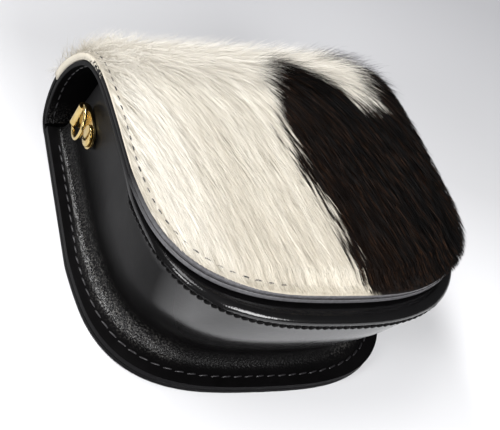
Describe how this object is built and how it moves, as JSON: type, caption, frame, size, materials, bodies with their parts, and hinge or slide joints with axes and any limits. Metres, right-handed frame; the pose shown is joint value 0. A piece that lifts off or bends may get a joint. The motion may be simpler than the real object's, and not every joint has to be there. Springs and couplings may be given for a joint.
{
  "type": "fur handbag",
  "caption": "Small flap handbag of smooth black leather with a moulded gusset, a flap faced in hair-on cowhide and swinging brass strap rings at the sides.",
  "frame": {"origin": "under the middle of the bag's box, on the surface that the back panel lies on", "axes": "+X to the bag's right, +Y towards the fold of the flap, +Z out of the front"},
  "size_m": [0.1516, 0.1662, 0.083],
  "materials": {
    "black_leather": "smooth glossy calf with a fine grain and burnished edges",
    "cowhide": "short combed hair in white and brown-black patches",
    "brass": "polished"
  },
  "bodies": {
    "bag": {"back_panel": "black_leather", "gusset": "black_leather", "front_panel": "black_leather", "flap_lining": "black_leather", "flap_hide": "cowhide", "left_clip": "brass", "left_rivet": "brass", "right_clip": "brass", "right_rivet": "brass"},
    "left_strap_ring": {"left_ring": "brass"},
    "right_strap_ring": {"right_ring": "brass"}
  },
  "joints": [
    {"name": "left_ring_swing", "type": "hinge", "parent": "bag", "child": "left_strap_ring", "pos_m": [-0.06527, 0.05072, 0.03235], "axis": [0, 0, 1], "range_deg": [-150, 5]},
    {"name": "right_ring_swing", "type": "hinge", "parent": "bag", "child": "right_strap_ring", "pos_m": [0.06527, 0.05072, 0.03235], "axis": [0, 0, 1], "range_deg": [-5, 150]}
  ]
}
